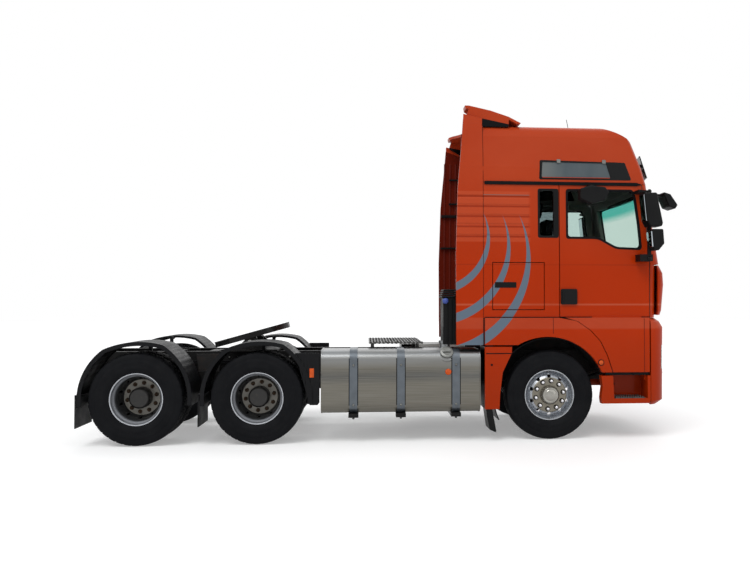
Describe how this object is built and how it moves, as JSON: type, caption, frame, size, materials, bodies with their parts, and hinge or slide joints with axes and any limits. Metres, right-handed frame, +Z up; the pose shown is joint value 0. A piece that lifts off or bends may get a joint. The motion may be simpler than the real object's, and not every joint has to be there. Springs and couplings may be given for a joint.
{
  "type": "semi truck tractor unit",
  "caption": "Three-axle road tractor with high-roof sleeper cab, tilting fifth-wheel plate, steered front wheels, twin rear wheels and opening doors.",
  "frame": {"origin": "on the ground, halfway between the front and rear ends, on the centre plane", "axes": "+X forward, +Y to the vehicle's left, +Z up"},
  "size_m": [7.025, 3.12, 4.1707],
  "materials": {
    "paint_orange": "gloss metallic orange",
    "frame_black": "satin chassis black",
    "black_plastic": "grained black plastic",
    "gloss_black": "gloss black plastic",
    "cast": "cast iron, painted dark",
    "tyre": "road tyre rubber",
    "wheel_silver": "silver wheel paint",
    "wheel_bright": "polished wheel disc",
    "steel_tank": "brushed stainless tank",
    "plate_steel": "greased machined steel",
    "tread_alloy": "tread plate",
    "glass": "tinted glass",
    "lamp": "clear lamp lens",
    "lamp_red": "red lamp lens",
    "interior": "grey moulded interior",
    "seat_fabric": "woven dark grey",
    "strap_grey": "grey strap with rubber edges"
  },
  "bodies": {
    "chassis_cab": {"frame_rails": "frame_black", "cross_members": "frame_black", "powertrain": "cast", "propshafts": "frame_black", "front_axle_beam": "cast", "leaf_springs": "frame_black", "bogie_trunnion": "cast", "drive_axles": "cast", "fifth_wheel_base": "frame_black", "rear_mudguards": "black_plastic", "front_mudguards": "black_plastic", "fuel_tank": "steel_tank", "tank_straps": "strap_grey", "exhaust_box": "steel_tank", "battery_box": "black_plastic", "air_tanks": "frame_black", "catwalk": "tread_alloy", "cab_shell": "paint_orange", "cab_roof": "paint_orange", "cab_glass": "glass", "side_panels": "paint_orange", "side_deflectors": "paint_orange", "roof_spoiler": "paint_orange", "sun_visor": "gloss_black", "bumper": "paint_orange", "headlamps": "lamp", "grille": "black_plastic", "step_modules": "black_plastic", "dashboard": "interior", "seats": "seat_fabric", "bunk": "seat_fabric", "equipment_housing": "black_plastic", "tail_lamps": "lamp_red", "front_mirror": "black_plastic", "antenna": "black_plastic"},
    "fifth_wheel": {"fifth_wheel_plate": "plate_steel"},
    "flap": {"front_flap": "paint_orange"},
    "knuckle_right": {"knuckle_right": "cast"},
    "front_right": {"front_wheel_right": "wheel_bright", "front_tyre_right": "tyre"},
    "mid_right": {"mid_wheel_right": "wheel_silver", "mid_tyres_right": "tyre"},
    "rear_right": {"rear_wheel_right": "wheel_silver", "rear_tyres_right": "tyre"},
    "door_right": {"door_right": "paint_orange", "door_glass_right": "glass", "mirrors_right": "black_plastic"},
    "locker_right": {"locker_right": "paint_orange"},
    "knuckle_left": {"knuckle_left": "cast"},
    "front_left": {"front_wheel_left": "wheel_bright", "front_tyre_left": "tyre"},
    "mid_left": {"mid_wheel_left": "wheel_silver", "mid_tyres_left": "tyre"},
    "rear_left": {"rear_wheel_left": "wheel_silver", "rear_tyres_left": "tyre"},
    "door_left": {"door_left": "paint_orange", "door_glass_left": "glass", "mirrors_left": "black_plastic"},
    "locker_left": {"locker_left": "paint_orange"}
  },
  "joints": [
    {"name": "steer_right", "type": "hinge", "parent": "chassis_cab", "child": "knuckle_right", "pos_m": [1.9225, -0.86, 0.53], "axis": [0, 0, 1], "range_deg": [-38, 38]},
    {"name": "roll_front_right", "type": "hinge", "parent": "knuckle_right", "child": "front_right", "pos_m": [1.9225, -1.02, 0.53], "axis": [0, 1, 0], "continuous": true},
    {"name": "roll_mid_right", "type": "hinge", "parent": "chassis_cab", "child": "mid_right", "pos_m": [-1.5025, -0.915, 0.53], "axis": [0, 1, 0], "continuous": true},
    {"name": "roll_rear_right", "type": "hinge", "parent": "chassis_cab", "child": "rear_right", "pos_m": [-2.8525, -0.915, 0.53], "axis": [0, 1, 0], "continuous": true},
    {"name": "door_right_hinge", "type": "hinge", "parent": "chassis_cab", "child": "door_right", "pos_m": [3.1295, -1.254, 1.9], "axis": [0, 0, 1], "range_deg": [0, 75]},
    {"name": "locker_right_hinge", "type": "hinge", "parent": "chassis_cab", "child": "locker_right", "pos_m": [1.5375, -1.224, 2.104], "axis": [-1, 0, 0], "range_deg": [0, 85]},
    {"name": "steer_left", "type": "hinge", "parent": "chassis_cab", "child": "knuckle_left", "pos_m": [1.9225, 0.86, 0.53], "axis": [0, 0, 1], "range_deg": [-38, 38]},
    {"name": "roll_front_left", "type": "hinge", "parent": "knuckle_left", "child": "front_left", "pos_m": [1.9225, 1.02, 0.53], "axis": [0, 1, 0], "continuous": true},
    {"name": "roll_mid_left", "type": "hinge", "parent": "chassis_cab", "child": "mid_left", "pos_m": [-1.5025, 0.915, 0.53], "axis": [0, 1, 0], "continuous": true},
    {"name": "roll_rear_left", "type": "hinge", "parent": "chassis_cab", "child": "rear_left", "pos_m": [-2.8525, 0.915, 0.53], "axis": [0, 1, 0], "continuous": true},
    {"name": "door_left_hinge", "type": "hinge", "parent": "chassis_cab", "child": "door_left", "pos_m": [3.1295, 1.254, 1.9], "axis": [0, 0, -1], "range_deg": [0, 75]},
    {"name": "locker_left_hinge", "type": "hinge", "parent": "chassis_cab", "child": "locker_left", "pos_m": [1.5375, 1.224, 2.104], "axis": [1, 0, 0], "range_deg": [0, 85]},
    {"name": "coupling_tilt", "type": "hinge", "parent": "chassis_cab", "child": "fifth_wheel", "pos_m": [-1.6775, 0, 1.165], "axis": [0, 1, 0], "range_deg": [0, 30]},
    {"name": "flap_hinge", "type": "hinge", "parent": "chassis_cab", "child": "flap", "pos_m": [3.3925, 0, 2.09], "axis": [0, -1, 0], "range_deg": [0, 80]}
  ],
  "couplings": [
    {"joint": "steer_left", "follows": "steer_right", "ratio": 1}
  ]
}
